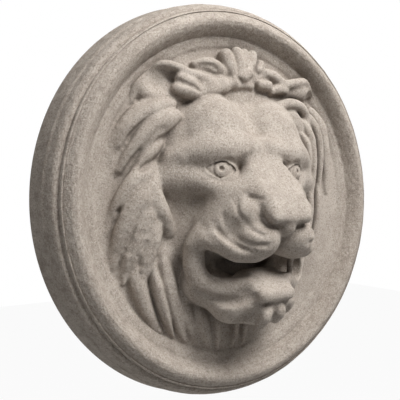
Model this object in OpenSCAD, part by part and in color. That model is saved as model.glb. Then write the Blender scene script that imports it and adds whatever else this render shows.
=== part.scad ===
// Lion head roundel: a cast stone wall ornament. A lion's head in high relief, its mouth open,
// on a round disc with a moulded frame. The back is flat and lies on the wall.
// The origin is at the middle of the back, the lion faces -Y and +Z is up.
// The head is worked out as a sum of soft masses. In their space a point is [across, up, out]: out is
// how far it stands off the wall. Both halves of the face share one set of masses; the hair does not.

/* [Disc and frame] */
// Diameter of the roundel at the wall
roundel_d = 500; // [400:10:700]
// Depth of the plain side wall, from the wall to the beads
side_wall = 31; // [24:1:60]
// How much smaller the radius of the side wall is at its front edge
side_taper = 4.5; // [0:0.5:8]
// Width of the broad bead at the front of the side wall
bead_w = 10; // [7:0.5:14]
// How far the broad bead steps forward
bead_rise = 15; // [10:0.5:18]
// Width of the slim bead between the broad one and the big roll
slim_bead_w = 4; // [2.5:0.5:7]
// How far the slim bead steps forward
slim_bead_rise = 6; // [4:0.5:9]
// Depth of the nick behind each bead
bead_nick = 1.5; // [0.5:0.25:2.5]
// Width of the big roll, from the beads to its inner foot
roll_w = 28; // [22:1:40]
// How far the roll falls back towards its inner foot
roll_fall = 10; // [4:1:14]
// How much the roll swells forward of the line between its feet
roll_swell = 12.5; // [8:0.5:16]
// Width of the flat band inside the roll
band_w = 14; // [8:1:20]
// Depth of the step from the band down to the field
step_depth = 4.5; // [2:0.5:7]

/* [Head] */
// How far the tip of the nose stands off the wall
nose_out = 150; // [120:1:190]
// Gap between the edge of the field and the mane
mane_gap = 1; // [0.5:0.5:20]
// Distance between the pupils, as on a head of the normal size
eye_spacing = 114; // [104:1:124]
// Height of the eyes above the middle of the disc, as on a head of the normal size
eye_height = 34; // [28:1:40]
// Width of the nose across its wings, as on a head of the normal size
nose_w = 74; // [64:1:84]
// Width of the muzzle across the whisker pads, as on a head of the normal size
muzzle_w = 104; // [90:1:116]
// Height of the open mouth at its middle, as on a head of the normal size
gape = 18; // [12:1:24]
// Drop from the middle of the disc to the chin, as on a head of the normal size
chin_drop = 151; // [144:1:158]
// Width of the head across the cheekbones, as on a head of the normal size
cheek_w = 244; // [230:1:256]

/* [Fineness] */
// Rings of facets from the middle of the head to the edge of the mane
rings = 38; // [16:1:38]

/* [Hidden] */

disc_r = roundel_d / 2;
bead_r = disc_r - side_taper;
slim_bead_r = bead_r - bead_w;
slim_bead_out = side_wall + bead_rise;
roll_r = slim_bead_r - slim_bead_w;
roll_out = slim_bead_out + slim_bead_rise;
band_r = roll_r - roll_w;
band_out = roll_out - roll_fall;
field_r = band_r - band_w;
field_out = band_out - step_depth;

// The masses are given for a head of the normal size: 377 mm across, on a field 37.5 mm off the wall,
// with its nose 150 mm off the wall. These values carry them to the head that is asked for.
NORMAL_R = 188.5;
NORMAL_FIELD = 37.5;
NORMAL_NOSE = 150;
mane_r = field_r - mane_gap;
head_scale = mane_r / NORMAL_R;
out_scale = (nose_out - field_out) / (NORMAL_NOSE - NORMAL_FIELD);

// The carving is sunk this far into the field, and its root goes this much deeper.
sunk = 3;
root = 5;
// Rings lie closer together at the face than at the mane.
RING_EASE = 1.12;
// The surface is found by falling towards the wall, in steps a little shorter than the free distance.
// Carving that would rise less than CLEAR above the field is left out.
STEP = 0.9;
CLOSE = 0.08;
CLEAR = 0.5;
MOST_STEPS = 60;

eye_x = eye_spacing / 2;
brow_up = eye_height + 24;
bridge_half = nose_w / 2 - 11;
pad_x = muzzle_w / 2 - 25;
cheek_x = cheek_w / 2 - 38;
lip_up = -96 + (18 - gape) / 2;
chin_up = 31 - chin_drop;

// ---------- Measures of soft masses: below zero inside, above zero outside ----------

// The nearer of two masses, blended over a width k
function join(a, b, k) = let (h = max(k - abs(a - b), 0)) min(a, b) - h * h / (4 * k);
// A mass with another taken out of it
function cut(a, b, k) = -join(-a, b, k);
function part_by(a, b) = [a.x / b.x, a.y / b.y, a.z / b.z];
function between(v, low, high) = max(low, min(high, v));
function first3(v) = [v[0], v[1], v[2]];

// An egg with its three radii along across, up and out
function egg(p, at, r) =
    let (q = part_by(p - at, r), k0 = norm(q), k1 = norm(part_by(q, r)))
    k0 * (k0 - 1) / max(k1, 1e-9);

// A round bar whose radius changes from one end to the other
function bar(p, a, b, ra, rb) =
    let (ab = b - a, h = between((p - a) * ab / (ab * ab), 0, 1))
    norm(p - a - h * ab) - (ra + (rb - ra) * h);

// A chain of bars: each row is [across, up, out, radius]
function chain(p, rows) = min([
    for (i = [0 : len(rows) - 2])
        bar(p, first3(rows[i]), first3(rows[i + 1]), rows[i][3], rows[i + 1][3])]);

// A flat-topped bar over the middle line, its ends given as [up, out, half width of the flat, radius]
function slab(p, a, b) =
    let (q = [p.y, p.z], start = [a[0], a[1]], along = [b[0], b[1]] - start,
        h = between((q - start) * along / (along * along), 0, 1),
        side = max(abs(p.x) - a[2] - (b[2] - a[2]) * h, 0))
    norm([side, norm(q - start - h * along)]) - (a[3] + (b[3] - a[3]) * h);

// ---------- Locks of hair ----------

LOCK_STEPS = 7;
function on_curve(a, b, c, t) = a * (1 - t) * (1 - t) + 2 * b * t * (1 - t) + c * t * t;
// A lock is fullest a third of the way along and comes to a point
function fullness(t) = min(1, 0.55 + 0.45 * t / 0.35) * sqrt(max(1 - pow(t, 2.5), 0.02));

// A lock as [stations, middle, reach]: a station is [across, up, out, half width, half height]
function lay_lock(row) =
    let (stations = [for (i = [0 : LOCK_STEPS]) let (
            t = i / LOCK_STEPS,
            q = on_curve(row[0], row[1], row[2], t),
            f = fullness(t))
            [q.x, q.y, q.z, row[3] / 2 * f, row[4] / 2 * max(f, 0.45)]],
        middle = (row[0] + row[1] + row[2]) / 3)
    [stations, middle, max([for (s = stations) norm(first3(s) - middle) + s[3]])];

function lock_piece(p, a, b) =
    let (start = first3(a), along = first3(b) - start,
        h = between((p - start) * along / (along * along), 0, 1),
        off = p - start - h * along,
        ahead = along / norm(along),
        side = cross(ahead, [0, 0, 1]),
        s = side / norm(side),
        lift = cross(s, ahead),
        w = a[3] + (b[3] - a[3]) * h,
        t = a[4] + (b[4] - a[4]) * h)
    egg([off * s, off * lift, off * ahead], [0, 0, 0], [w, t, min(w, t)]);

FAR_OFF = 8;
function lock(p, l) =
    let (far = norm(p - l[1]) - l[2])
    far > FAR_OFF ? far : min([for (i = [0 : LOCK_STEPS - 1]) lock_piece(p, l[0][i], l[0][i + 1])]);

// A lobe as [rows of its chain, middle, reach]
function lay_lobe(rows) =
    let (middle = (first3(rows[0]) + first3(rows[len(rows) - 1])) / 2)
    [rows, middle, max([for (row = rows) norm(first3(row) - middle) + row[3]])];
function lobe(p, l) =
    let (far = norm(p - l[1]) - l[2])
    far > FAR_OFF ? far : chain(p, l[0]);

// Locks on the side of the head's right ear. Each lock: root, bend, tip, width, height
NEAR_LOCKS = [
    // upper mane, from the temple out and down
    [[104, 100, 44], [142, 100, 48], [170, 40, 32], 44, 20],
    [[110, 70, 44], [136, 62, 48], [158, 14, 36], 30, 20],
    // side mane
    [[124, 36, 46], [150, 30, 58], [174, -34, 33], 30, 24],
    [[122, 22, 50], [152, 4, 58], [168, -74, 34], 34, 26],
    [[124, 6, 48], [140, -22, 55], [156, -92, 36], 32, 26],
    [[122, -6, 48], [126, -48, 52], [140, -104, 38], 26, 26],
    // lower mane
    [[146, -60, 40], [142, -110, 44], [108, -154, 36], 22, 18],
    [[125, -66, 44], [120, -114, 50], [92, -160, 38], 19, 20],
    [[110, -60, 44], [104, -110, 50], [76, -168, 38], 22, 20],
    [[92, -90, 42], [84, -130, 46], [54, -176, 38], 24, 18],
    [[62, -120, 42], [56, -150, 46], [38, -182, 38], 22, 18],
    [[36, -126, 42], [32, -156, 46], [28, -184, 38], 16, 16],
    [[6, -126, 42], [6, -156, 47], [6, -182, 38], 16, 16],
];
// Locks on the side of the head's left ear
FAR_LOCKS = [
    [[62, 112, 50], [92, 112, 54], [106, 78, 48], 30, 22],
    [[104, 118, 48], [148, 104, 52], [142, 2, 42], 17, 22],
    [[98, 106, 50], [132, 92, 54], [124, -22, 44], 17, 24],
    [[92, 92, 50], [118, 80, 54], [116, 20, 48], 16, 20],
    [[122, 24, 46], [124, -34, 50], [104, -84, 40], 15, 22],
    [[140, 20, 42], [146, -20, 45], [128, -70, 38], 16, 16],
    [[12, -126, 42], [12, -156, 46], [14, -182, 38], 15, 16],
];
// Rounded lobes of hair, each a short chain of [across, up, out, radius]
LOBES = [
    // upper mane
    [[-103, 114, 48, 5], [-120, 112, 50, 8], [-138, 103, 49, 8.5], [-154, 86, 44, 7], [-164, 70, 39, 4]],
    [[-99, 97, 54, 8], [-114, 92, 55, 11.5], [-132, 79, 51, 12], [-147, 58, 46, 10], [-160, 34, 39, 6]],
    [[-118, 64, 50, 6], [-132, 52, 50, 9], [-146, 32, 46, 9], [-158, 8, 40, 6]],
    // beside the cheek
    [[-123, 28, 51, 4], [-123, 10, 54, 7.5], [-117, -8, 56, 8.5], [-107, -22, 56, 6.5], [-98, -33, 55, 3]],
    // two lobes before the ear
    [[-72, 131, 51, 7], [-86, 134, 54, 8], [-98, 138, 53, 6]],
    [[-68, 124, 50, 8], [-84, 125, 54, 9], [-101, 127, 51, 7.5]],
    // leaf beside the crown
    [[-24, 152, 49, 5], [-38, 160, 50, 9], [-52, 163, 49, 8], [-66, 161, 46, 5]],
    // crown tuft
    [[-20, 177, 47, 9.5], [-18, 165, 51, 8.5], [-14, 151, 53, 5]],
    [[-3, 184, 47, 7.5], [-3, 170, 52, 6], [-6, 155, 54, 4.5]],
    [[9, 185, 47, 6], [7, 172, 51, 5], [3, 160, 54, 4]],
    [[22, 183, 46, 7.5], [18, 172, 50, 6], [11, 160, 53, 4.5]],
    [[36, 174, 45, 6.5], [30, 166, 49, 5]],
    // curls over the brow
    [[2, 152, 56, 6.5], [9, 157, 56, 6.5]],
    [[30, 146, 54, 6], [42, 146, 54, 7]],
    [[-62, 138, 48, 8], [-42, 140, 50, 8.5], [-22, 142, 51, 8], [0, 143, 51, 6], [16, 143, 50, 5]],
    // leaf beside the crown on the other side, and the curl under it
    [[42, 164, 47, 6], [56, 160, 50, 7.5], [70, 152, 51, 6]],
    [[50, 140, 52, 5], [62, 144, 53, 6], [74, 143, 52, 5]],
    // rolled edge of the lock that hangs before the head's left ear
    [[60, 121, 55, 7], [78, 126, 58, 7], [96, 124, 57, 6.5], [108, 116, 54, 6], [116, 90, 50, 5]],
];
LOCK_BLEND = 6;
LOBE_BLEND = 6;
MANE_BLEND = 6;
function join_all(v, k, i = 0, so_far = 1e9) =
    i == len(v) ? so_far : join_all(v, k, i + 1, join(so_far, v[i], k));

// The low bed that the hair grows from; l is the point with its two sides changed over
BED_BLEND = 6;
BED_RIDGE = [[-70, 146, 34, 13], [-30, 156, 36, 15], [20, 158, 36, 15], [76, 146, 36, 13]];
function bed(p, l) = join_all([
    egg(l, [86, -10, 34], [80, 128, 16]),
    egg(p, [84, 50, 34], [62, 90, 15]),
    egg(p, [0, 118, 36], [112, 56, 15]),
    egg(l, [20, -120, 34], [80, 66, 13]),
    chain(p, BED_RIDGE)], BED_BLEND);

// The ears: a low shell with a rolled rim, hollowed out
RIGHT_RIM = [[26, 140, 51, 4.5], [60, 145, 52.5, 5.5], [90, 151.5, 53, 5.5], [116, 156.5, 49, 5.5],
    [135, 146, 43, 5], [138, 135, 41, 5], [136, 122, 40, 6]];
LEFT_RIM = [[68, 150, 51, 6], [92, 155, 53, 6.5], [112, 159, 50, 6], [126, 156, 46, 6], [133, 147, 42, 5]];
function ears(d, p, l) =
    let (right = join(egg(l, [112, 136, 38], [34, 25, 16]), chain(l, RIGHT_RIM), 5),
        left = join(egg(p, [102, 146, 42], [30, 13, 13]), chain(p, LEFT_RIM), 5),
        both = cut(join(d, right, 3), egg(l, [105, 141, 60], [16, 10, 17]), 4))
    cut(join(both, left, 3), egg(p, [122, 140, 55], [11, 8, 13]), 3);

// hair_parts is [near locks, far locks, lobes], each laid out beforehand
function hair(p, parts) =
    let (l = [-p.x, p.y, p.z],
        strands = join_all(concat(
            [for (k = parts[0]) lock(l, k)],
            [for (k = parts[1]) lock(p, k)]), LOCK_BLEND),
        mane = join(ears(bed(p, l), p, l), strands, MANE_BLEND))
    join_all([for (k = parts[2]) lobe(p, k)], LOBE_BLEND, 0, mane);

// ---------- The face ----------

// Forehead with its valley, temples, cheeks and the side of the jaw
VALLEY = [[0, 134, 60, 8], [0, 108, 78, 10], [0, 88, 91, 10], [0, 70, 102, 8], [0, 58, 109, 4]];
function skull(p, x) =
    let (a = join(egg(p, [0, 40, 5], [118, 100, 77]), egg(x, [74, 66, 30], [42, 50, 34]), 12),
        b = cut(join(a, egg(x, [46, 64, 28], [51, 70, 64]), 4), chain(p, VALLEY), 9),
        c = join(b, egg(x, [cheek_x, 20, 32], [38, 42, 34]), 12))
    join(c, egg(x, [60, -30, 36], [46, 56, 34]), 14);

// Brow, cheekbone, cheek hollow and eye socket
function brow_and_cheek(d, x) =
    let (dx = eye_x - 57, up = eye_height,
        brow = [[20, brow_up + 3, 87, 12], [36 + dx, brow_up + 0.5, 86, 12.5], [50 + dx, brow_up, 85, 13],
            [64 + dx, brow_up - 0.5, 81, 13], [76 + dx, brow_up - 3, 75.5, 12.5],
            [90 + dx, brow_up - 6.5, 66, 11], [104 + dx, brow_up - 11, 55, 9]],
        bone = [[50 + dx, up - 26, 85, 14], [72 + dx, up - 17, 72, 15], [94, up - 14, 54, 17],
            [cheek_x + 30, up - 11, 41, 16]],
        flesh = bar(x, [48 + dx, up - 34, 84], [56 + dx, up - 48, 84], 20, 18),
        crease = [[66 + dx, up + 7.5, 100, 6], [78 + dx, up + 9, 91, 4.5], [97 + dx, up + 15, 81, 1.5]],
        socket = join(egg(x, [eye_x - 1, up + 2.5, 108.5], [23, 15, 21]), chain(x, crease), 3),
        a = join(join(join(d, chain(x, brow), 16), chain(x, bone), 9), flesh, 8))
    cut(cut(a, egg(x, [cheek_x + 20, up - 44, 87], [28, 30, 26]), 18), socket, 1.6);

// Inner ends of the brow, the bridge of the nose and the deep inner corners of the eyes
function bridge(d, p, x) =
    let (dx = eye_x - 57,
        knob = [[12, brow_up + 4, 92, 8], [22, brow_up + 0.5, 91, 9], [36 + dx, brow_up - 0.5, 89, 9]],
        corner = [[24, 46, 106, 4], [34 + dx, 40, 102, 6], [41 + dx, 33, 98, 4]],
        top = slab(p, [64, 81, 6, 11], [30, 98.5, bridge_half - 3, 11]),
        middle = slab(p, [30, 98.5, bridge_half - 3, 11], [6, 117.5, bridge_half, 12]),
        front = slab(p, [6, 117.5, bridge_half, 12], [-14, 133, bridge_half - 6, 12]),
        a = cut(join(d, chain(x, knob), 6), chain(x, corner), 3))
    join(join(join(a, top, 8), middle, 3), front, 6);

// The eyeball, and lids round an almond opening between two circles
function eye(d, x) =
    let (up = eye_height,
        under = norm([x.x - eye_x + 1, x.y - up + 16]) - 25,
        over = norm([x.x - eye_x - 1, x.y - up - 13.5]) - 23.5,
        opening = max(under, over),
        lids = cut(egg(x, [eye_x, up, 71], [25, 18.5, 23.5]), max(opening, 72 - x.z), 1.2))
    join(join(d, egg(x, [eye_x, up - 1, 71], [20, 19, 20]), 1.5), lids, 1.6);

// The muzzle and jaw with the hollow of the mouth cut into them
function mouth(d, p, x) =
    let (a = join(d, egg(p, [0, -28, 62], [74, 46, 62]), 14),
        b = join(a, bar(x, [32, -2, 92], [pad_x + 27, -34, 80], 30, 27), 10),
        c = join(b, bar(x, [30, chin_up + 6, 70], [62, chin_up + 22, 52], 26, 26), 10),
        hollow = join(egg(p, [0, -80, 100], [78, 20, 50]), egg(x, [58, -80, 94], [22, 22, 36]), 8))
    cut(c, hollow, 4);

// Whisker pads, the upper lip running back from them, and the cleft between them
function upper_lip(d, p, x) =
    let (low_pad = egg(x, [pad_x, -43, 109], [29.5, 26, 32.5]),
        pad = join(low_pad, egg(x, [pad_x + 12, -15, 103], [22, 20, 27]), 8),
        lip = [[pad_x + 7, -54, 114, 15], [pad_x + 23, -56, 109, 13.5], [pad_x + 35, -50, 98, 12],
            [76, -44, 84, 11], [84, -50, 72, 9]])
    cut(join(d, join(pad, chain(x, lip), 8), 6), bar(p, [0, -36, 151], [0, -76, 138], 3, 4), 5);

// The nose: its broad end, nostrils and the groove round each wing
function nose(d, p, x) =
    let (w = bridge_half - 26,
        front = slab(p, [0, 130, 24 + w, 8], [-19, 142, 23 + w, 8]),
        end = join(front, egg(p, [0, -28, 131], [13, 13, 14]), 5),
        nostril = [[8, -28, 148, 2], [14, -28, 146, 3.6], [21, -29, 141, 2.4]],
        groove = [[20 + w, -30, 141, 2], [29.5 + w, -26, 136, 2.4], [34 + w, -18, 132, 2.4],
            [35 + w, -9, 130, 1]])
    cut(cut(join(d, end, 3), chain(x, nostril), 1.5), chain(x, groove), 3);

// Chin, lower lip and the roll of flesh round the corner of the mouth, with the groove under it
function lower_jaw(d, p, x) =
    let (lip = slab(p, [lip_up + 4, 84, 16, 10], [lip_up - 14, 118, 14, 10]),
        roll = [[74, -38, 76, 12.5], [80, -48, 70, 12], [80, -64, 66, 12.5], [78, -81, 65, 13],
            [70, -95, 69, 13], [55, -102, 79, 12.5], [41, lip_up - 5, 91, 10.5], [30, lip_up, 103, 8]],
        groove = [[82, chin_up + 16, 72, 4], [70, chin_up + 9, 81, 5.5], [56, chin_up + 4, 91, 6],
            [42, chin_up + 5, 104, 5.5], [30, chin_up + 11, 114, 3]],
        a = join(join(d, egg(p, [0, chin_up + 2, 86], [46, 31, 31]), 10), lip, 6))
    cut(join(a, chain(x, roll), 4), chain(x, groove), 4);

// The chin's tuft in two lobes between two hollows, and a thin web in one corner of the mouth
function chin(d, p, x) =
    let (near = [[-9, chin_up - 5, 109, 7], [-12, chin_up - 14, 110, 7], [-13, chin_up - 23, 103, 5]],
        far = [[6, chin_up - 2, 110, 8], [8, chin_up - 12, 109, 7.5], [10, chin_up - 21, 101, 5]],
        hollow = [[22, chin_up - 7, 118, 3], [28, chin_up - 14, 109, 9], [35, chin_up - 23, 92, 7]],
        web = [[48, -70, 98, 4], [53, -82, 90, 3], [54, -94, 88, 3], [50, -106, 88, 4]],
        a = cut(join(join(d, chain(p, near), 2), chain(p, far), 2), chain(x, hollow), 3))
    join(cut(a, egg(p, [68, -84, 84], [11, 17, 24]), 3), chain(p, web), 2);

function face(p, x) =
    let (upper = eye(bridge(brow_and_cheek(skull(p, x), x), p, x), x))
    chin(lower_jaw(nose(upper_lip(mouth(upper, p, x), p, x), p, x), p, x), p, x);

FOLD = 2;
HAIRLINE_BLEND = 2;
FIELD_BLEND = 9;
function carving(p, parts) =
    let (x = [norm([p.x, FOLD]), p.y, p.z],
        head = join(face(p, x), hair(p, parts), HAIRLINE_BLEND))
    join(head, p.z - NORMAL_FIELD, FIELD_BLEND);

// ---------- The carving's surface as facets ----------

// How far the surface stands off the wall at one place, or the sunk level where nothing is carved
TOP = 160;
FLOOR = NORMAL_FIELD - sunk / out_scale;
function fall(place, parts, out = TOP, count = 0) =
    out < NORMAL_FIELD + CLEAR ? FLOOR :
    let (free = carving([place.x, place.y, out], parts))
    free < CLOSE || count > MOST_STEPS ? out : fall(place, parts, out - free * STEP, count + 1);

// Rings of points, six times as many as the ring's number, so that all facets are about as large
function ring_r(i) = NORMAL_R * pow(i / rings, RING_EASE);
function ring_spot(i, j) = i == 0 ? [0, 0] : ring_r(i) * [cos(60 * j / i), sin(60 * j / i)];
function ring_count(i) = i == 0 ? 1 : 6 * i;
function ring_start(i) = i == 0 ? 0 : 1 + 3 * i * (i - 1);
function ring_facets(i) = [
    for (sector = [0 : 5], j = [0 : i - 1])
        let (outer = sector * i + j, inner = sector * (i - 1) + j,
            o0 = ring_start(i) + outer,
            o1 = ring_start(i) + (outer + 1) % ring_count(i),
            n0 = ring_start(i - 1) + inner % ring_count(i - 1),
            n1 = ring_start(i - 1) + (inner + 1) % ring_count(i - 1))
        each j < i - 1 ? [[o1, o0, n0], [n1, o1, n0]] : [[o1, o0, n0]]];

// From the masses' space to the part's own
function placed(spot, out) =
    [spot.x * head_scale, -(field_out + (out - NORMAL_FIELD) * out_scale), spot.y * head_scale];

module head() {
    parts = [
        [for (row = NEAR_LOCKS) lay_lock(row)],
        [for (row = FAR_LOCKS) lay_lock(row)],
        [for (rows = LOBES) lay_lobe(rows)]];
    spots = [for (i = [0 : rings], j = [0 : ring_count(i) - 1]) ring_spot(i, j)];
    edge = ring_start(rings);
    count = ring_count(rings);
    top = [for (k = [0 : len(spots) - 1])
        placed(spots[k], k < edge ? fall(spots[k], parts) : FLOOR)];
    bottom = [for (j = [0 : count - 1]) placed(spots[edge + j], FLOOR - root)];
    skin = [for (i = [1 : rings]) each ring_facets(i)];
    wall = [for (j = [0 : count - 1])
        let (a = edge + j, b = edge + (j + 1) % count, c = len(top) + j, d = len(top) + (j + 1) % count)
        each [[a, b, c], [b, d, c]]];
    base = [for (j = [0 : count - 1]) len(top) + j];
    polyhedron(concat(top, bottom), concat(skin, wall, [base]));
}

// ---------- Disc and frame ----------

DISC_FN = 256;
ARC_STEPS = 8;
ROLL_STEPS = 20;

// A bead's quarter round, from its outer foot to its inner top
function bead(r, out, w, rise) = [
    for (i = [0 : ARC_STEPS]) let (a = 90 * i / ARC_STEPS)
        [r - w * (1 - cos(a)) - bead_nick * (1 - i / ARC_STEPS), out + rise * sin(a)]];

// The big roll: a bow over the line between its feet, leaning inwards
function roll_edge() = [
    for (i = [0 : ROLL_STEPS]) let (t = i / ROLL_STEPS, rise = roll_swell * sin(180 * t))
        [roll_r - roll_w * t, roll_out - bead_nick * (1 - t) - roll_fall * t + rise]];

module disc() {
    rotate([90, 0, 0])
        rotate_extrude($fn = DISC_FN)
            polygon(concat(
                [[0, 0], [disc_r, 0], [bead_r, side_wall]],
                bead(bead_r, side_wall, bead_w, bead_rise),
                bead(slim_bead_r, slim_bead_out, slim_bead_w, slim_bead_rise),
                roll_edge(),
                [[field_r, band_out], [field_r, field_out], [0, field_out]]));
}

module lion_roundel() {
    color([0.62, 0.57, 0.53]) {
        disc();
        head();
    }
}

lion_roundel();
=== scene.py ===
"""Looks of the lion head roundel: one piece of cast stone, carved in relief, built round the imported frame.

The carving is worked out as a sum of soft masses, each a signed distance in millimetres: below zero is
stone, above zero is air. A point is (across, up, out): across is +X, up is +Z and out is how far the point
stands off the wall, along -Y. The masses are meshed with surface nets, joined to the turned frame, and
weathered. Sizes are those of a roundel 500 mm across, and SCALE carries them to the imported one.
"""
import math

import bmesh
import bpy
import numpy as np
from mathutils import Matrix, Vector

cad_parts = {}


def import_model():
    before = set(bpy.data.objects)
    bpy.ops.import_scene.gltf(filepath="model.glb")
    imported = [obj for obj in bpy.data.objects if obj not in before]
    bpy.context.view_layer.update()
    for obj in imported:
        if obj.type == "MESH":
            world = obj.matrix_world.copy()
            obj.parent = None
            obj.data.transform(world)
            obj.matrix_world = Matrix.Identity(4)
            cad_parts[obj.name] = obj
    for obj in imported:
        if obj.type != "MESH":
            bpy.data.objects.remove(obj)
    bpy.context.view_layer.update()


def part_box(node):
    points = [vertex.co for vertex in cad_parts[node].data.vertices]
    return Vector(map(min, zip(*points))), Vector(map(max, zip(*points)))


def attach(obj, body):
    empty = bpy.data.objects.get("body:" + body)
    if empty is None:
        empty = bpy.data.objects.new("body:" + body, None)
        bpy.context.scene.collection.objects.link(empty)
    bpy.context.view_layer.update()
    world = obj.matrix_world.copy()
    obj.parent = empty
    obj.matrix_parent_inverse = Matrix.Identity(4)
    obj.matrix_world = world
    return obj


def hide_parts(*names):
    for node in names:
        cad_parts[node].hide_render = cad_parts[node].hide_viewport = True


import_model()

NODE = "lion_roundel"
LOW, HIGH = (np.array(corner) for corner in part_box(NODE))
NORMAL_D = 500.0
SCALE = (HIGH[0] - LOW[0]) / NORMAL_D


# ---------- Soft masses ----------

FAR = 1e3
BOX_SLACK = 14          # a tube reaches this far past its own box before it is left out
LOCK_SLACK = 12
CURVE_STEPS = 4
CREASE_REACH = 2.2      # in widths of the crease
CREASE_DEPTH = 12       # a crease moves only what lies this near the surface
LOCK_STEPS = 12
LOCK_ROOT = 0.55        # share of a lock's full width at its root
LOCK_FULL = 0.35        # how far along a lock has its full width
LOCK_TAPER = 2.5
LOCK_LEAST = 0.45       # least share of its height that a lock keeps
LOCK_TIP = 0.02         # square of the share of its width that a lock keeps at its tip
OUTWARD = np.array([0, 0, 1.0])


def join(a, b, soft):
    """Both masses, run into each other over this width."""
    near = np.maximum(soft - np.abs(a - b), 0.0)
    return np.minimum(a, b) - near * near / (4 * soft)


def common(a, b, soft):
    """What lies in both masses."""
    return -join(-a, -b, soft)


def cut(mass, tool, soft):
    """The mass without the tool."""
    return common(mass, -tool, soft)


def turned(turn, yaw=0):
    """Axes turned in the plane of the face, and then sideways."""
    turn, yaw = np.radians([turn, yaw])
    in_face = np.array([[np.cos(turn), -np.sin(turn), 0], [np.sin(turn), np.cos(turn), 0], [0, 0, 1]])
    sideways = np.array([[np.cos(yaw), 0, np.sin(yaw)], [0, 1, 0], [-np.sin(yaw), 0, np.cos(yaw)]])
    return in_face @ sideways


def egg(points, centre, radii, turn=0):
    """An ellipsoid with these three radii, turned in the plane of the face."""
    spot = points - np.array(centre, float)
    if turn:
        spot = spot @ turned(turn)
    radii = np.array(radii, float)
    near = np.linalg.norm(spot / radii, axis=1)
    growth = np.linalg.norm(spot / (radii * radii), axis=1)
    return near * (near - 1) / np.maximum(growth, 1e-9)


def bar(points, start, end, start_r, end_r):
    """A round bar whose radius changes from its start to its end."""
    start, end = np.array(start, float), np.array(end, float)
    way = end - start
    part = np.clip((points - start) @ way / (way @ way), 0, 1)
    far = np.linalg.norm(points - start - part[:, None] * way, axis=1)
    return far - (start_r + (end_r - start_r) * part)


def slab(points, start, end, half_widths, start_r, end_r):
    """A bar between two places (up, out), drawn out sideways by its first to its last half width."""
    start, end = np.array(start, float), np.array(end, float)
    way = end - start
    spot = points[:, 1:]
    part = np.clip((spot - start) @ way / (way @ way), 0, 1)
    half = half_widths[0] + (half_widths[1] - half_widths[0]) * part
    far = np.linalg.norm(spot - start - part[:, None] * way, axis=1)
    return np.hypot(np.maximum(np.abs(points[:, 0]) - half, 0), far) - (start_r + (end_r - start_r) * part)


def smooth_curve(knots):
    """Places on a smooth curve through the knots. A fourth number, such as a radius, comes along."""
    knots = np.array(knots, float)
    knots = np.vstack([2 * knots[0] - knots[1], knots, 2 * knots[-1] - knots[-2]])
    places = []
    for i in range(1, len(knots) - 2):
        before, here, there, after = knots[i - 1:i + 3]
        for step in range(CURVE_STEPS):
            t = step / CURVE_STEPS
            bend = (there - before) * t
            bow = (2 * before - 5 * here + 4 * there - after) * t ** 2
            swing = (3 * here - before - 3 * there + after) * t ** 3
            places.append(0.5 * (2 * here + bend + bow + swing))
    places.append(knots[-2])
    return np.array(places)


def tube(points, knots):
    """A tube along a smooth curve; each knot is (across, up, out, radius)."""
    route = smooth_curve(knots)
    low = (route[:, :3] - route[:, 3:4]).min(0) - BOX_SLACK
    high = (route[:, :3] + route[:, 3:4]).max(0) + BOX_SLACK
    near = np.all((points > low) & (points < high), axis=1)
    mass = np.full(len(points), FAR)
    spot = points[near]
    best = np.full(len(spot), FAR)
    for start, end in zip(route[:-1], route[1:]):
        best = np.minimum(best, bar(spot, start[:3], end[:3], start[3], end[3]))
    mass[near] = best
    return mass


def crease(mass, points, knots, depth, width):
    """A soft furrow (or, below zero, a soft ridge) of this depth along a curve that lies on the surface."""
    route = smooth_curve(knots)
    reach = width * CREASE_REACH
    near = np.all((points > route.min(0) - reach) & (points < route.max(0) + reach), axis=1)
    near &= np.abs(mass) < CREASE_DEPTH
    spot = points[near]
    if not len(spot):
        return mass
    best = np.full(len(spot), FAR)
    for start, end in zip(route[:-1], route[1:]):
        best = np.minimum(best, bar(spot, start, end, 0, 0))
    to_end = np.minimum(np.linalg.norm(spot - route[0], axis=1), np.linalg.norm(spot - route[-1], axis=1))
    fade = np.clip(to_end / (width * 2), 0.25, 1)
    mass = mass.copy()
    mass[near] += depth * fade * (np.exp(-(best / width) ** 2))
    return mass


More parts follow.
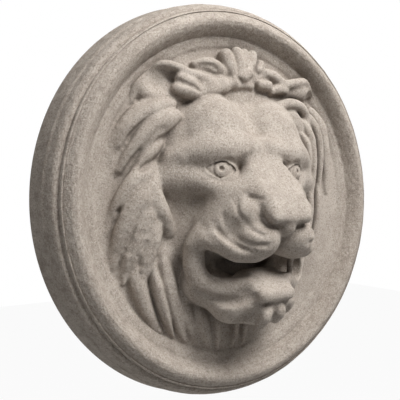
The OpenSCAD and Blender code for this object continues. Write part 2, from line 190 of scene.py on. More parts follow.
def lock(points, root, bend, tip, width, height, strands, groove):
    """A carved lock of hair from root over bend to tip: wide and flat, with strands along it."""
    root, bend, tip = (np.array(place, float) for place in (root, bend, tip))
    t = np.linspace(0, 1, LOCK_STEPS + 1)[:, None]
    route = root * (1 - t) ** 2 + 2 * bend * t * (1 - t) + tip * t ** 2
    low = route.min(0) - width - LOCK_SLACK
    high = route.max(0) + width + LOCK_SLACK
    near = np.all((points > low) & (points < high), axis=1)
    mass = np.full(len(points), FAR)
    spot = points[near]
    if not len(spot):
        return mass
    best = np.full(len(spot), np.inf)
    along = np.zeros(len(spot))
    offset = np.zeros((len(spot), 3))
    heading = np.zeros((len(spot), 3))
    for i in range(LOCK_STEPS):
        way = route[i + 1] - route[i]
        part = np.clip((spot - route[i]) @ way / (way @ way), 0, 1)
        away = spot - route[i] - part[:, None] * way
        far = (away * away).sum(1)
        nearer = far < best
        best[nearer] = far[nearer]
        along[nearer] = (i + part[nearer]) / LOCK_STEPS
        offset[nearer] = away[nearer]
        heading[nearer] = way / np.linalg.norm(way)
    side = np.cross(heading, OUTWARD)
    side /= np.linalg.norm(side, axis=1)[:, None]
    rise = np.cross(side, heading)
    swell = np.minimum(1, LOCK_ROOT + (1 - LOCK_ROOT) * along / LOCK_FULL)
    swell = swell * np.sqrt(np.maximum(1 - along ** LOCK_TAPER, LOCK_TIP))
    half_width = width / 2 * swell
    half_height = height / 2 * np.maximum(swell, LOCK_LEAST)
    half_length = np.minimum(half_width, half_height)
    beside = (offset * side).sum(1)
    above = (offset * rise).sum(1)
    beyond = (offset * heading).sum(1)
    if strands > 1:
        wave = np.abs(np.sin(np.pi * strands * (beside / half_width / 2 + 0.5)))
        half_height = half_height * (1 - groove * (1 - wave) * (np.abs(beside) < half_width))
    size = np.sqrt((beside / half_width) ** 2 + (above / half_height) ** 2 + (beyond / half_length) ** 2)
    growth = np.sqrt((beside / half_width ** 2) ** 2 + (above / half_height ** 2) ** 2
                     + (beyond / half_length ** 2) ** 2)
    mass[near] = size * (size - 1) / np.maximum(growth, 1e-6)
    return mass


# ---------- Face ----------

FIELD = 37.5            # how far the flat field stands off the wall
PLUG_R = 196            # the carving and its field are cut off here, under the frame's band
PLUG_BASE = 31          # and here, inside the disc
FOLD = 4.0              # softens the fold between the face's two halves
EYE_AT = (52.5, 33.5, 72)
EYE_TURN = 8
EYE_YAW = 17
BALL_RADII = (22, 21, 21.5)
LID_RADII = (26, 21.5, 23.8)
IRIS_R = 9.8


def eye(mass, folded):
    """The eyeball with its iris ring and pupil, and lids round an almond opening, turned outward."""
    spot = (folded - np.array(EYE_AT)) @ turned(EYE_TURN, EYE_YAW)
    across, up, out = spot[:, 0], spot[:, 1], spot[:, 2]
    ball = egg(spot, (0, 0, 0), BALL_RADII)
    mass = join(mass, ball, 1.5)
    under_upper_lid = np.hypot(across + 1, up + 17) - 26.5
    over_lower_lid = np.hypot(across - 1, up - 15.5) - 25
    almond = common(under_upper_lid, over_lower_lid, 2.0)
    almond = common(almond, 2 - out, 1)
    lids = cut(egg(spot, (0, 0, 0), LID_RADII), almond, 1.6)
    mass = join(mass, lids, 2.0)
    ring = np.hypot(np.hypot(across, up) - IRIS_R, np.abs(ball)) - 1.2
    mass = cut(mass, np.where(out > 8, ring, FAR), 0.8)
    pupil = bar(spot, (0.6, 1, 20.6), (0.6, 1, 26), 2.6, 4.2)
    return cut(mass, pupil, 1.6)


def face(points, folded):
    """The face. folded is the points with both halves laid on one side; the others are not alike."""
    skull = egg(points, (0, 40, 5), (118, 100, 77))
    dome = egg(folded, (44, 64, 28), (54, 70, 64))
    temple = egg(folded, (74, 66, 30), (42, 50, 34))
    mass = join(skull, temple, 12)
    mass = join(mass, dome, 4)
    mass = cut(mass, tube(points, [(0, 134, 62, 6), (0, 108, 79, 7.5), (0, 88, 92, 7.5), (0, 70, 104, 6),
                                   (0, 58, 110, 3)]), 7)
    mass = crease(mass, points, [(0, 126, 54), (0, 110, 62), (0, 98, 70), (0, 84, 77), (0, 70, 90)], 3, 8)
    cheekside = egg(folded, (84, 20, 32), (38, 42, 34))
    mass = join(mass, cheekside, 12)
    jawside = egg(folded, (60, -30, 36), (46, 56, 34))
    mass = join(mass, jawside, 14)
    brow = tube(folded, [(20, 61, 87, 12), (36, 58.5, 86, 12.5), (50, 58, 85, 13), (64, 57.5, 81, 13),
                         (76, 55, 75.5, 12.5), (90, 51.5, 66, 11), (104, 47, 55, 9)])
    mass = join(mass, brow, 16)
    bone = tube(folded, [(50, 8, 85, 14), (72, 17, 72, 15), (94, 20, 54, 17), (114, 23, 41, 16)])
    mass = join(mass, bone, 15)
    mass = join(mass, tube(folded, [(48, 0, 84, 20), (56, -14, 84, 18)]), 8)
    mass = cut(mass, egg(folded, (113, -28, 85), (35, 40, 29), turn=30), 30)
    outer_end = tube(folded, [(66, 41.5, 100, 6), (78, 43, 91, 4.5), (97, 49, 81, 1.5)])
    socket = join(egg(folded, (56, 36.5, 108.5), (23, 15, 21)), outer_end, 3)
    mass = cut(mass, socket, 1.6)
    mass = join(mass, tube(folded, [(12, 62, 92, 8), (22, 58.5, 91, 9), (36, 57.5, 89, 9)]), 6)
    mass = cut(mass, tube(folded, [(16, 50, 106.5, 2.5), (25, 47, 106.5, 5.5), (33, 44, 106, 5.5),
                                   (38, 40, 106, 3)]), 7)
    mass = join(mass, slab(points, (64, 81), (30, 98.5), (6, 23), 11, 11), 8)
    mass = join(mass, slab(points, (30, 98.5), (6, 117.5), (23, 26), 11, 12), 3)
    mass = join(mass, slab(points, (6, 117.5), (-14, 133), (26, 20), 12, 12), 6)
    mass = eye(mass, folded)
    # muzzle body
    core = egg(points, (0, -28, 62), (74, 46, 62))
    mass = join(mass, core, 14)
    slope = bar(folded, (32, -2, 92), (54, -34, 80), 30, 27)
    mass = join(mass, slope, 10)
    jaw = bar(folded, (30, -114, 70), (62, -98, 52), 26, 26)
    mass = join(mass, jaw, 10)
    hollow = join(egg(points, (0, -80, 100), (78, 20, 50)), egg(folded, (58, -80, 94), (22, 22, 36)), 8)
    mass = cut(mass, hollow, 4)
    # upper lip and whisker pads
    pad = join(egg(folded, (27, -43, 109), (29.5, 26, 32.5)), egg(folded, (39, -15, 103), (22, 20, 27)), 8)
    lip = tube(folded, [(34, -54, 114, 15), (50, -56, 109, 13.5), (62, -50, 98, 12), (76, -44, 84, 11),
                        (84, -50, 72, 9)])
    mass = join(mass, join(pad, lip, 8), 6)
    mass = cut(mass, bar(points, (0, -36, 151), (0, -76, 138), 3, 4), 5)
    # nose
    nose_tip = egg(points, (0, -28, 131), (13, 13, 14))
    nose = join(slab(points, (0, 129), (-19, 141), (24, 23), 8, 8), nose_tip, 5)
    mass = join(mass, nose, 5)
    mass = cut(mass, tube(folded, [(8, -28, 148, 2), (14, -28, 146, 3.6), (21, -29, 141, 2.4)]), 1.5)
    mass = crease(mass, folded,
                  [(16, -29, 142), (23, -29, 138), (29.5, -26, 135), (33, -18, 131)], 3.4, 2.0)
    # the notch over the pad, and the folds round its side
    mass = crease(mass, folded, [(44, 5, 117), (39, 2, 124), (33, 1, 131), (28, 2, 134)], 2.2, 2.6)
    mass = crease(mass, folded, [(55, 0, 112), (55, -14, 118), (50, -27, 126), (42, -36, 133),
                                 (31, -41, 138)], 2.4, 3.2)
    mass = crease(mass, folded, [(66, -12, 103), (66, -28, 108), (60, -39, 114), (51, -46, 125),
                                 (38, -49, 135), (27, -49, 140)], 2.6, 3.2)
    mass = crease(mass, folded, [(73, -28, 98), (68, -39, 104), (62, -46, 112), (54, -52, 120),
                                 (44, -56, 129)], 2.6, 3)
    mass = crease(mass, folded, [(77, -36, 96), (72, -43, 103), (66, -50, 109), (59, -57, 116),
                                 (50, -61, 122)], -2.4, 3)
    # chin, tongue, lower lip, roll of the mouth's corner
    chin = egg(points, (0, -118, 86), (46, 31, 31))
    mass = join(mass, chin, 10)
    mass = join(mass, egg(folded, (34, -121, 76), (26, 25, 26)), 8)
    lower_lip = slab(points, (-92, 84), (-109, 116.5), (22, 17), 9, 9.5)
    mass = join(mass, lower_lip, 12)
    roll = tube(folded, [(74, -38, 76, 12.5), (80, -48, 70, 12), (80, -64, 66, 12.5), (78, -81, 65, 13),
                         (70, -95, 69, 13), (55, -102, 79, 12.5), (41, -101, 91, 10.5), (30, -96, 103, 8)])
    mass = join(mass, roll, 4)
    mass = cut(mass, tube(folded, [(82, -104, 72, 4), (70, -111, 81, 5.5), (56, -116, 91, 6),
                                   (42, -115, 104, 5.5), (30, -109, 114, 3)]), 4)
    mass = cut(mass, egg(folded, (60, -79, 86), (11, 9, 14)), 3)
    # tuft of the chin
    mass = crease(mass, points, [(-24, -114, 112), (-12, -119, 118), (2, -121, 120), (16, -119, 118),
                                 (26, -114, 112)], 4, 5)
    mass = join(mass, tube(points, [(-8, -124, 110, 7.5), (-12, -134, 112, 8), (-13, -144, 105, 5.5)]), 2)
    mass = join(mass, tube(points, [(7, -121, 111, 8), (9, -131, 112, 8), (11, -141, 104, 5.5)]), 2)
    mass = cut(mass, tube(folded, [(23, -127, 119, 3), (29, -135, 110, 9.5), (36, -144, 92, 7)]), 3)
    # on one side a thin web stands before a deeper hollow
    mass = cut(mass, egg(points, (64, -84, 84), (15, 18, 26)), 3)
    mass = join(mass, tube(points, [(40, -64, 101, 5), (43, -78, 95, 3.6), (44, -92, 93, 3.6),
                                    (41, -105, 94, 5)]), 2)
    return mass


# ---------- Hair ----------

LOCK_BLEND = 2.5
LOBE_BLEND = 4
# Each lock's root, bend and tip as (across, up, out), its width and height, its strands and their
# groove. On the left, across is mirrored.
MANE_LEFT = [
    # upper mane, from the temple out and down
    ((104, 100, 44), (142, 100, 48), (170, 40, 32), 44, 20, 2, 0.04),
    ((110, 70, 44), (136, 62, 48), (158, 14, 36), 30, 20, 2, 0.04),
    # side mane
    ((124, 36, 46), (150, 30, 58), (174, -34, 33), 30, 24, 2, 0.06),
    ((122, 22, 50), (152, 4, 58), (168, -74, 34), 34, 26, 3, 0.08),
    ((124, 6, 48), (140, -22, 55), (156, -92, 36), 32, 26, 2, 0.10),
    ((122, -6, 48), (126, -48, 52), (140, -104, 38), 26, 26, 2, 0.10),
    # lower mane
    ((146, -60, 40), (142, -110, 44), (108, -154, 36), 22, 18, 1, 0),
    ((125, -66, 44), (120, -114, 51), (92, -160, 38), 15, 22, 1, 0),
    ((110, -60, 44), (104, -110, 50), (76, -168, 38), 22, 20, 2, 0.12),
    ((92, -90, 42), (84, -130, 46), (54, -176, 38), 24, 18, 2, 0.12),
    ((62, -120, 42), (56, -150, 46), (38, -182, 38), 22, 18, 1, 0),
    ((36, -126, 42), (32, -156, 48), (28, -184, 38), 12, 18, 1, 0),
    ((6, -126, 42), (6, -156, 50), (6, -182, 40), 12, 20, 1, 0),
]
MANE_RIGHT = [
    # the lock that hangs before the ear, and the long strands under it
    ((62, 112, 50), (92, 112, 54), (106, 78, 48), 30, 22, 2, 0.06),
    ((104, 118, 48), (148, 104, 52), (142, 2, 42), 17, 22, 1, 0),
    ((98, 106, 50), (132, 92, 54), (124, -22, 44), 17, 24, 1, 0),
    ((92, 92, 50), (118, 80, 54), (116, 20, 48), 14, 22, 1, 0),
    ((122, 24, 46), (124, -34, 50), (104, -84, 40), 15, 22, 1, 0),
    ((140, 20, 42), (146, -20, 46), (128, -70, 38), 13, 18, 1, 0),
    ((128, 124, 42), (164, 104, 46), (166, 10, 38), 20, 12, 1, 0),
    ((10, -126, 42), (10, -156, 48), (12, -182, 38), 12, 18, 1, 0),
]


def mane(points, rows):
    mass = np.full(len(points), FAR)
    for row in rows:
        mass = join(mass, lock(points, *row), LOCK_BLEND)
    return mass


# Lobes of hair: (across, up, out, radius) along each
LOBES = [
    # upper mane
    [(-100, 110, 49, 6), (-118, 105, 52, 9), (-137, 95, 50, 9), (-153, 79, 45, 7.5), (-163, 62, 40, 5)],
    [(-98, 96, 53, 9), (-112, 90, 53, 13), (-130, 77, 50, 13.5), (-146, 57, 45, 11), (-160, 34, 39, 6)],
    [(-118, 64, 50, 6), (-132, 52, 50, 9), (-146, 32, 46, 9), (-158, 8, 40, 6)],
    # beside the cheek
    [(-123, 28, 51, 4), (-124, 10, 53, 8), (-119, -8, 55, 9.5), (-111, -22, 53, 9), (-103, -36, 48, 7.5)],
    # before the left ear
    [(-64, 133, 50, 5.5), (-77, 136, 54, 8), (-90, 141, 53, 7)],
    [(-61, 124, 50, 6), (-76, 126, 54, 9), (-93, 129, 51.5, 8)],
    # leaf beside the crown
    [(-24, 152, 49, 5), (-38, 160, 50, 9), (-52, 163, 49, 8), (-66, 161, 46, 5)],
    # crown tuft
    [(-20, 177, 47, 9.5), (-18, 165, 51, 8.5), (-14, 151, 53, 5)],
    [(-3, 184, 47, 7.5), (-3, 170, 52, 6), (-6, 155, 54, 4.5)],
    [(9, 185, 47, 6), (7, 172, 51, 5), (3, 160, 54, 4)],
    [(22, 183, 46, 7.5), (18, 172, 50, 6), (11, 160, 53, 4.5)],
    [(36, 174, 45, 6.5), (30, 166, 49, 5)],
    # curls over the brow
    [(2, 152, 56, 6.5), (9, 157, 56, 6.5)],
    [(30, 146, 54, 6), (42, 146, 54, 7)],
    [(-66, 136, 46, 6.5), (-51, 141, 50.5, 8.5)],
    [(-48, 136, 47, 6.5), (-32, 142, 51.5, 8.5)],
    [(-30, 138, 49, 6.5), (-13, 144, 52.5, 7.5)],
    [(-8, 142, 50, 6), (6, 144, 51, 5), (16, 143, 50, 5)],
    # the far leaf
    [(42, 164, 47, 6), (56, 160, 50, 7.5), (70, 152, 51, 6)],
    [(50, 140, 52, 5), (62, 144, 53, 6), (74, 143, 52, 5)],
    # behind the far corner of the mouth
    [(86, -64, 46, 5), (96, -77, 46, 9), (97, -91, 44, 8.5), (91, -105, 42, 6.5), (85, -116, 40, 3)],
    # the rolled edge of the lock that hangs before the far ear
    [(60, 121, 55, 7), (78, 126, 58, 7), (96, 124, 57, 6.5), (108, 116, 54, 6), (112, 104, 51, 5.5),
     (116, 90, 50, 5)],
]


def ear_left(mass, mirrored):
    """The near ear, laid back; its hollow opens to the side."""
    back = egg(mirrored, (112, 130, 37), (36, 28, 15), turn=18)
    rim = tube(mirrored, [(26, 140, 51, 4.5), (42, 142, 52, 5), (60, 145, 52.5, 5.5), (76, 147.5, 53, 5.5),
                          (90, 151.5, 53, 5.5), (104, 154.5, 51, 5.5), (118, 153.5, 48, 5),
                          (130, 148, 44, 4.5), (139, 138, 41, 4), (144, 126, 39, 3.2),
                          (145, 112, 38, 2.5)])
    mass = join(mass, join(back, rim, 6), 10)
    mass = cut(mass, egg(mirrored, (118, 135, 60), (29, 16, 17), turn=15), 8)
    return cut(mass, egg(mirrored, (100, 140, 61), (18, 9, 18), turn=20), 4)


def ear_right(mass, points):
    """The far ear, of which only the rim and the tip of the hollow show."""
    back = egg(points, (102, 146, 42), (30, 13, 13), turn=8)
    rim = tube(points, [(68, 150, 51, 6), (92, 155, 53, 6.5), (112, 159, 50, 6), (126, 156, 46, 6),
                        (133, 147, 42, 5)])
    mass = join(mass, join(back, rim, 5), 3)
    return cut(mass, egg(points, (122, 140, 55), (11, 8, 13), turn=30), 3)


def hair(points):
    mirrored = points * (-1, 1, 1)
    bed = join(egg(mirrored, (86, -10, 34), (80, 128, 16)), egg(points, (84, 50, 34), (62, 90, 15)), 6)
    bed = join(bed, egg(points, (0, 118, 36), (112, 56, 15)), 6)
    bed = join(bed, egg(mirrored, (20, -120, 34), (80, 66, 13)), 6)
    bed = join(bed, tube(points, [(-70, 146, 34, 13), (-30, 156, 36, 15), (20, 158, 36, 15),
                                  (76, 146, 36, 13)]), 6)
    mass = ear_right(ear_left(bed, mirrored), points)
    locks = join(mane(mirrored, MANE_LEFT), mane(points, MANE_RIGHT), LOCK_BLEND)
    mass = join(mass, locks, 4)
    for lobe in LOBES:
        mass = join(mass, tube(points, lobe), LOBE_BLEND)
    mass = join(mass, tube(points, [(-68, 127, 50, 7), (-48, 131, 53, 8), (-30, 136, 54, 6)]), 8)
    mass = crease(mass, points,
                  [(-95, 136, 58), (-85, 132.5, 61), (-75, 130, 61), (-66, 126, 58)], 3.4, 2.4)
    mass = crease(mass, points, [(-68, 158, 51), (-58, 160, 54), (-46, 159, 57), (-36, 155, 57)], 3, 3)
    mass = crease(mass, points, [(-108, 104, 54), (-126, 100, 55), (-144, 84, 51), (-158, 62, 44)], 2.5, 4)
    mass = crease(mass, points, [(-140, 62, 52), (-152, 38, 47), (-160, 12, 42)], 4, 4)
    mass = crease(mass, points, [(-128, 44, 54), (-144, 30, 54), (-158, 8, 48), (-168, -20, 42)], 4.5, 4.5)
    mass = crease(mass, points, [(-132, 8, 56), (-146, -20, 54), (-154, -54, 48)], 2.2, 4)
    mass = crease(mass, points, [(-112, 84, 64), (-128, 74, 62), (-142, 54, 56), (-152, 34, 49)], 2.2, 4)
    return mass


def carving(points):
    folded = points.copy()
    folded[:, 0] = np.sqrt(points[:, 0] ** 2 + FOLD)
    return join(face(points, folded), hair(points), 3.0)


def plug(points):
    """The carving with the flat field around it, cut to a round edge and at its base inside the disc."""
    mass = join(carving(points), points[:, 2] - FIELD, 6)
    radius = np.hypot(points[:, 0], points[:, 1])
    return np.maximum(np.maximum(mass, radius - PLUG_R), PLUG_BASE - points[:, 2])


# ---------- Meshing ----------

CELL = 1.55
LEVELS = 3
SLACK = 1.6
HALF_DIAGONAL = 0.87
CORNERS = np.array([(i, j, k) for i in (0, 1) for j in (0, 1) for k in (0, 1)])
SIDES = ((0, 1, 3, 2), (4, 5, 7, 6), (0, 1, 5, 4), (2, 3, 7, 6), (0, 2, 6, 4), (1, 3, 7, 5))
OPPOSITE = ((0, 7), (1, 6), (2, 5), (3, 4))
FILL = -0.05
FILL_ROUNDS = 12
KEY_BASE = 4096


def in_chunks(field, points, size=400000):
    """The field at many points, a few at a time."""
    return np.concatenate([field(points[i:i + size]) for i in range(0, len(points), size)])


def cell_key(cells):
    return (cells[:, 0] * KEY_BASE + cells[:, 1]) * KEY_BASE + cells[:, 2]


def cells_at_surface(field, low, high):
    """The cells that the surface may cross, found from large cells down to small ones."""
    size = CELL * 2 ** LEVELS
    counts = np.ceil((np.array(high) - low) / size).astype(int)
    cells = np.stack(np.meshgrid(*[np.arange(n) for n in counts], indexing="ij"), -1).reshape(-1, 3)
    for level in range(LEVELS, -1, -1):
        size = CELL * 2 ** level
        reach = size * HALF_DIAGONAL * SLACK
        cells = cells[np.abs(in_chunks(field, low + (cells + 0.5) * size)) < reach]
        if level:
            cells = (cells[:, None, :] * 2 + CORNERS).reshape(-1, 3)
    return cells


def without_pinches(at, back):
    """Corner values, filled in where two sheets of the surface would meet in an edge or a point."""
    for _ in range(FILL_ROUNDS):
        value = at[back]
        inside = value < 0
        odd = []
        for side in SIDES:
            a, b, c, d = (inside[:, k] for k in side)
            odd.append(((a == c) & (b == d) & (a != b), side))
        total = inside.sum(1)
        for pair in OPPOSITE:
            same = inside[:, pair[0]] & inside[:, pair[1]] & (total == 2)
            same |= ~inside[:, pair[0]] & ~inside[:, pair[1]] & (total == 6)
            odd.append((same, tuple(range(8))))
        found = 0
        for rows, side in odd:
            found += rows.sum()
            around = np.where(value[rows][:, side] < 0, FAR, value[rows][:, side])
            pick = np.array(side)[around.argmin(1)]
            at[back[rows, pick]] = FILL * CELL
        if not found:
            break
    return at[back]


def surface_nets(field, low, high):
    """Vertices and quads of the field's zero surface."""
    low = np.array(low, float)
    cells = cells_at_surface(field, low, high)
    corners = (cells[:, None, :] + CORNERS).reshape(-1, 3)
    _, first, back = np.unique(cell_key(corners), return_index=True, return_inverse=True)
    value = without_pinches(in_chunks(field, low + corners[first] * CELL), back.reshape(-1, 8))
    crossed = (value.min(1) < 0) & (value.max(1) >= 0)
    cells, value = cells[crossed], value[crossed]
    total = np.zeros((len(cells), 3))
    count = np.zeros(len(cells))
    for a in range(8):
        for b in range(a + 1, 8):
            if abs(CORNERS[a] - CORNERS[b]).sum() != 1:
                continue
            change = (value[:, a] < 0) != (value[:, b] < 0)
            part = value[:, a] / np.where(change, value[:, a] - value[:, b], 1)
            spot = CORNERS[a] + part[:, None] * (CORNERS[b] - CORNERS[a])
            total += np.where(change[:, None], spot, 0)
            count += change
    points = low + (cells + total / count[:, None]) * CELL
    keys = cell_key(cells)
    order = np.argsort(keys)
    sorted_keys = keys[order]

    def vertex_of(wanted):
        key = cell_key(wanted)
        place = np.clip(np.searchsorted(sorted_keys, key), 0, len(sorted_keys) - 1)
        return np.where(sorted_keys[place] == key, order[place], -1)

    quads = []
    unit = np.eye(3, dtype=int)
    for axis in range(3):
        one, two = unit[(axis + 1) % 3], unit[(axis + 2) % 3]
        start = value[:, 0] < 0
        end = value[:, (4, 2, 1)[axis]] < 0
        change = start != end
        base = cells[change]
        ring = np.stack([vertex_of(base), vertex_of(base - one), vertex_of(base - one - two),
                         vertex_of(base - two)], 1)
        ring[end[change]] = ring[end[change]][:, ::-1]
        quads.append(ring[(ring >= 0).all(1)])
    return points, np.concatenate(quads)


def slope(field, points, step):
    """The field's direction of growth at each point, and the true distance there."""
    here = in_chunks(field, points)
    grow = np.stack([in_chunks(field, points + step * np.eye(3)[i]) - here for i in range(3)], 1) / step
    size = np.linalg.norm(grow, axis=1)
    return grow / np.maximum(size, 1e-6)[:, None], here / np.maximum(size, 0.3)


def settled(field, points):
    """The points moved onto the surface."""
    for _ in range(2):
        way, distance = slope(field, points, CELL / 4)
        points = points - way * np.clip(distance, -CELL, CELL)[:, None]
    return points


def to_world(points):
    """Masses' space (across, up, out) in millimetres to the frame's metres."""
    return np.stack([points[:, 0], -points[:, 2], points[:, 1]], 1) * SCALE


def new_object(name, points, faces):
    mesh = bpy.data.meshes.new(name)
    mesh.from_pydata(to_world(points).tolist(), [], faces.tolist())
    mesh.validate()
    obj = bpy.data.objects.new(name, mesh)
    bpy.context.scene.collection.objects.link(obj)
    return obj


def close_holes(obj):
    """Fills the few small holes that the pruned search leaves."""
    net = bmesh.new()
    net.from_mesh(obj.data)
    bmesh.ops.holes_fill(net, edges=[edge for edge in net.edges if edge.is_boundary], sides=0)
    bmesh.ops.triangulate(net, faces=[face for face in net.faces if len(face.verts) > 4])
    net.to_mesh(obj.data)
    net.free()


def apply_modifiers(obj):
    depsgraph = bpy.context.evaluated_depsgraph_get()
    mesh = bpy.data.meshes.new_from_object(obj.evaluated_get(depsgraph))
    obj.modifiers.clear()
    obj.data = mesh


# ---------- The turned frame ----------

DISC_R = NORMAL_D / 2
SIDE_WALL = 31.0
SIDE_TAPER = 4.5
BEADS = ((10.0, 15.0), (4.0, 6.0))      # width and rise of the broad bead and of the slim one inside it
BEAD_START = math.radians(32)           # how far round its arc a bead begins: this leaves an arris
BEAD_NICK = 1.5
ROLL_W = 28.0
ROLL_FALL = 10.0
ROLL_SWELL = 12.5
BAND_EASE = ((3, 0.5), (5.2, 0.7), (6.4, 1.3), (8.5, 1.6), (11, 2.3), (13, 3.3), (14.5, 4.1), (16.5, 4.7),
             (19, 6), (110, 6))         # how far inward of the roll, and how far below its foot
TURNS = 320


def frame_profile():
    """The frame's outline as (radius, out), from the middle of the back round to that of the field."""
    outline = [(0.02, 0), (DISC_R * 0.5, 0), (DISC_R - 3, 0), (DISC_R - 0.6, 0.4), (DISC_R, 2)]
    outline += [(DISC_R - SIDE_TAPER * t, SIDE_WALL * t) for t in np.linspace(0.12, 0.96, 9)]
    radius, out = DISC_R - SIDE_TAPER, SIDE_WALL
    for width, rise in BEADS:
        for t in np.linspace(0, 1, 9):
            angle = BEAD_START + t * (math.pi / 2 - BEAD_START)
            inward = 1 - math.cos(angle) / math.cos(BEAD_START)
            forward = (math.sin(angle) - math.sin(BEAD_START)) / (1 - math.sin(BEAD_START))
            outline.append((radius - width * inward - BEAD_NICK * (1 - t) ** 2, out + rise * forward))
        radius -= width
        out += rise
    roll_r = radius
    for t in np.linspace(0, 1, 26):
        rise = ROLL_SWELL * math.sin(math.pi * t)
        outline.append((roll_r - ROLL_W * t, out - BEAD_NICK * (1 - t) - ROLL_FALL * t + rise))
    band_r = roll_r - ROLL_W
    band_out = out - ROLL_FALL
    for inward, below in BAND_EASE:
        outline.append((band_r - inward, band_out - below))
    outline.append((0.02, band_out - BAND_EASE[-1][1]))
    return outline


def turned_frame():
    outline = frame_profile()
    rows = len(outline)
    points = []
    for turn in range(TURNS):
        angle = 2 * math.pi * turn / TURNS
        points += [(r * math.cos(angle), r * math.sin(angle), out) for r, out in outline]
    faces = []
    for turn in range(TURNS):
        here, there = turn * rows, (turn + 1) % TURNS * rows
        faces += [(here + k, there + k, there + k + 1, here + k + 1) for k in range(rows - 1)]
    ends = [tuple(turn * rows for turn in reversed(range(TURNS))),
            tuple(turn * rows + rows - 1 for turn in range(TURNS))]
    mesh = bpy.data.meshes.new("turned_frame")
    mesh.from_pydata(to_world(np.array(points)).tolist(), [], faces + ends)
    obj = bpy.data.objects.new("turned_frame", mesh)
    bpy.context.scene.collection.objects.link(obj)
    return obj


# ---------- Weathering ----------

def lattice(cells, seed):
    """A number from -1 to 1 for each whole-numbered cell, always the same for the same seed."""
    mixed = (cells[:, 0] * 73856093) ^ (cells[:, 1] * 19349663) ^ (cells[:, 2] * 83492791)
    mixed = mixed ^ (seed * 2654435)
    mixed = (mixed ^ (mixed >> 13)) * 1274126177
    return ((mixed ^ (mixed >> 16)) & 65535) / 32767.5 - 1


def noise(points, size, seed):
    """Smooth noise from -1 to 1 whose lumps are about this size, in millimetres."""
    spot = points / size
    cell = np.floor(spot).astype(np.int64)
    part = spot - cell
    part = part * part * (3 - 2 * part)
    total = np.zeros(len(points))
    for corner in CORNERS:
        weight = np.prod(np.where(corner, part, 1 - part), axis=1)
        total += weight * lattice(cell + corner, seed)
    return total


# Unevenness: how deep, how large its lumps are, and its seed
EVERYWHERE = ((0.45, 17, 1), (0.28, 7.5, 2), (0.16, 3.6, 3))
ON_PATCH = ((1.1, 5.2, 4), (0.6, 2.9, 5))
ROUGH_SPOT = (-137, -52)
ROUGH_REACH = (34, 40)
FRAME_FROM = 190.0      # the frame's own marks begin at this radius
BACK_FREE = 3.0


def weathered(points, normals):
    """The points pushed in and out a little: hand-cut unevenness, grain, and one rough patch of mane."""
    across, up, out = points.T
    aside = (across - ROUGH_SPOT[0]) / ROUGH_REACH[0]
    above = (up - ROUGH_SPOT[1]) / ROUGH_REACH[1]
    patch = np.exp(-aside ** 2 - above ** 2)
    push = sum(depth * noise(points, size, seed) for depth, size, seed in EVERYWHERE)
    push += patch * sum(depth * noise(points, size, seed) for depth, size, seed in ON_PATCH)
    radius = np.hypot(across, up)
    turning = np.stack([radius, across / np.maximum(radius, 1) * 9, up / np.maximum(radius, 1) * 9], 1)
    on_frame = np.clip((radius - FRAME_FROM) / 4, 0, 1)
    push = push * (1 - 0.45 * on_frame) + on_frame * 0.22 * noise(turning, 2.6, 6)
    push *= np.clip((out - BACK_FREE) / 12, 0, 1)
    return points + normals * push[:, None]


# ---------- How open or hidden each place is, for the painted shade in the folds ---

OUTLINE = np.array(frame_profile())
REACHES = ((3, 0.25), (8, 0.35), (20, 0.4))     # how far out to look for stone, and what each look counts
EDGE_DEPTH = 4.0                                # how far in to look for air


def frame_distance(points):
    """Signed distance to the turned frame."""
    spot = np.stack([np.hypot(points[:, 0], points[:, 1]), points[:, 2]], 1)
    best = np.full(len(spot), FAR)
    inside = np.zeros(len(spot), bool)
    for a, b in zip(OUTLINE, np.roll(OUTLINE, -1, 0)):
        along = b - a
        part = np.clip((spot - a) @ along / max(along @ along, 1e-9), 0, 1)
        best = np.minimum(best, np.linalg.norm(spot - a - part[:, None] * along, axis=1))
        if a[1] != b[1]:
            spans = (a[1] > spot[:, 1]) != (b[1] > spot[:, 1])
            inside ^= spans & (spot[:, 0] < (b[0] - a[0]) * (spot[:, 1] - a[1]) / (b[1] - a[1]) + a[0])
    return np.where(inside, -best, best)


def whole(points):
    return np.minimum(plug(points), frame_distance(points))


def hiddenness(points, normals):
    """How hidden each place is, from 0 in the open to 1 in a fold, and how much of an edge it is."""
    hidden = np.zeros(len(points))
    for reach, weight in REACHES:
        free = in_chunks(whole, points + normals * reach)
        hidden += weight * np.clip(1 - free / reach, 0, 1)
    edge = np.clip(1 + in_chunks(whole, points - normals * EDGE_DEPTH) / EDGE_DEPTH, 0, 1)
    return hidden, edge


# ---------- The piece ----------

LOW_CORNER = (-192, -192, 28)
HIGH_CORNER = (192, 192, 160)
MOST_TRIANGLES = 120000
SHARP_ANGLE = math.radians(52)


def coordinates(mesh, what="vertices"):
    values = np.empty(len(getattr(mesh, what)) * 3)
    getattr(mesh, what).foreach_get("co" if what == "vertices" else "vector", values)
    return values.reshape(-1, 3)


def from_world(points):
    return np.stack([points[:, 0], points[:, 2], -points[:, 1]], 1) / SCALE


